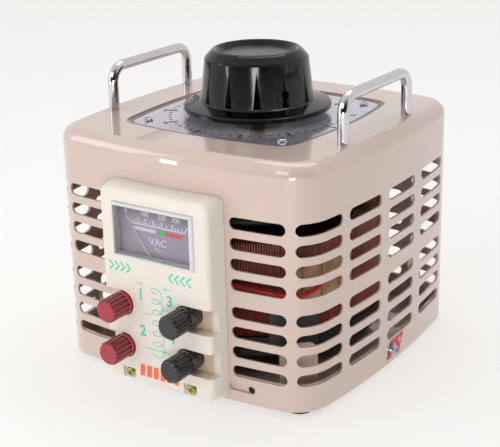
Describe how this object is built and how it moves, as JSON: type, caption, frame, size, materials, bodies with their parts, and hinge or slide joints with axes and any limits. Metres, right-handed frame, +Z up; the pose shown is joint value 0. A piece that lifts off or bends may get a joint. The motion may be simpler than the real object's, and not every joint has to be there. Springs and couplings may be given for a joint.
{
  "type": "variable autotransformer",
  "caption": "Bench variable autotransformer: vented square housing, skirted rotary knob on a dial plate, rod handles, front panel with pointer meter and binding posts.",
  "frame": {"origin": "on the standing surface under the middle of the housing, on the knob axis", "axes": "+Z up along the knob axis, -Y out of the terminal panel, +X towards the right-hand handle"},
  "size_m": [0.2358, 0.2676, 0.2285],
  "materials": {
    "enamel": "gloss enamel",
    "cream_plastic": "satin",
    "black_plastic": "gloss",
    "red_plastic": "gloss",
    "black_matte": "matte",
    "rubber": "matte",
    "chrome": "polished",
    "zinc": "zinc plated",
    "yellow_zinc": "yellow passivated",
    "plate": "brushed",
    "brass": "turned",
    "steel": "turned",
    "wire": "enamelled copper wire",
    "core": "wound strip",
    "tape": "varnished tape",
    "board": "pressboard",
    "grey_sheet": "matte",
    "lead_red": "insulated lead",
    "carbon": "carbon",
    "clear": "clear acrylic",
    "card": "printed card",
    "label_red": "printed label",
    "needle": "painted",
    "black_metal": "matt"
  },
  "bodies": {
    "housing": {"base_disc": "black_matte", "base_pan": "enamel", "base_standoffs": "steel", "common_lead": "black_matte", "core_insulation": "tape", "corner_brackets": "enamel", "cover": "enamel", "cover_screws": "black_metal", "dial_plate": "plate", "dial_plate_screws": "zinc", "foot_screws": "zinc", "front_panel": "cream_plastic", "ground_label": "label_red", "ground_screw": "zinc", "ground_washer": "zinc", "handle_left": "chrome", "handle_right": "chrome", "handle_screws": "zinc", "handle_washers": "zinc", "input_lead": "lead_red", "insulation_sheet": "grey_sheet", "lower_bush": "brass", "meter_case": "black_matte", "meter_dial": "card", "meter_movement": "black_matte", "meter_window": "clear", "output_lead": "lead_red", "panel_screws": "yellow_zinc", "post_collars_input": "red_plastic", "post_collars_output": "black_plastic", "post_nuts": "brass", "post_studs": "brass", "rubber_feet": "rubber", "stop_pin": "steel", "tap_board": "board", "terminal_lugs": "zinc", "tie_bolts": "zinc", "tie_nuts": "zinc", "top_clamp": "black_matte", "toroid_core": "core", "upper_bush": "brass", "winding": "wire"},
    "rotor": {"knob": "black_plastic", "knob_top_disc": "plate", "knob_sleeve": "brass", "knob_set_screw": "steel", "shaft": "steel", "brush_rotor": "black_metal", "brush_holder": "brass", "carbon_brush": "carbon", "brush_spring": "steel"},
    "pointer": {"meter_needle": "needle"},
    "insert_input_upper": {"post_insert_input_upper": "brass"},
    "cap_input_upper": {"post_cap_input_upper": "red_plastic"},
    "insert_output_upper": {"post_insert_output_upper": "brass"},
    "cap_output_upper": {"post_cap_output_upper": "black_plastic"},
    "insert_input_lower": {"post_insert_input_lower": "brass"},
    "cap_input_lower": {"post_cap_input_lower": "red_plastic"},
    "insert_output_lower": {"post_insert_output_lower": "brass"},
    "cap_output_lower": {"post_cap_output_lower": "black_plastic"}
  },
  "joints": [
    {"name": "knob_turn", "type": "hinge", "parent": "housing", "child": "rotor", "pos_m": [0, 0, 0.18], "axis": [0, 0, -1], "range_deg": [0, 300]},
    {"name": "needle_swing", "type": "hinge", "parent": "housing", "child": "pointer", "pos_m": [0, -0.1262, 0.095], "axis": [0, 1, 0], "range_deg": [0, 75.6]},
    {"name": "input_upper_travel", "type": "slide", "parent": "housing", "child": "insert_input_upper", "axis": [0, -1, 0], "range_m": [0, 0.004]},
    {"name": "input_upper_turn", "type": "hinge", "parent": "insert_input_upper", "child": "cap_input_upper", "pos_m": [-0.0294, -0.1314, 0.0675], "axis": [0, -1, 0], "range_deg": [0, 1440]},
    {"name": "output_upper_travel", "type": "slide", "parent": "housing", "child": "insert_output_upper", "axis": [0, -1, 0], "range_m": [0, 0.004]},
    {"name": "output_upper_turn", "type": "hinge", "parent": "insert_output_upper", "child": "cap_output_upper", "pos_m": [0.0246, -0.1314, 0.0675], "axis": [0, -1, 0], "range_deg": [0, 1440]},
    {"name": "input_lower_travel", "type": "slide", "parent": "housing", "child": "insert_input_lower", "axis": [0, -1, 0], "range_m": [0, 0.004]},
    {"name": "input_lower_turn", "type": "hinge", "parent": "insert_input_lower", "child": "cap_input_lower", "pos_m": [-0.0294, -0.1314, 0.0352], "axis": [0, -1, 0], "range_deg": [0, 1440]},
    {"name": "output_lower_travel", "type": "slide", "parent": "housing", "child": "insert_output_lower", "axis": [0, -1, 0], "range_m": [0, 0.004]},
    {"name": "output_lower_turn", "type": "hinge", "parent": "insert_output_lower", "child": "cap_output_lower", "pos_m": [0.0246, -0.1314, 0.0352], "axis": [0, -1, 0], "range_deg": [0, 1440]}
  ],
  "couplings": [
    {"joint": "needle_swing", "follows": "knob_turn", "ratio": 0.25},
    {"joint": "input_upper_travel", "follows": "input_upper_turn", "m_per_rad": 0.00015915},
    {"joint": "output_upper_travel", "follows": "output_upper_turn", "m_per_rad": 0.00015915},
    {"joint": "input_lower_travel", "follows": "input_lower_turn", "m_per_rad": 0.00015915},
    {"joint": "output_lower_travel", "follows": "output_lower_turn", "m_per_rad": 0.00015915}
  ]
}
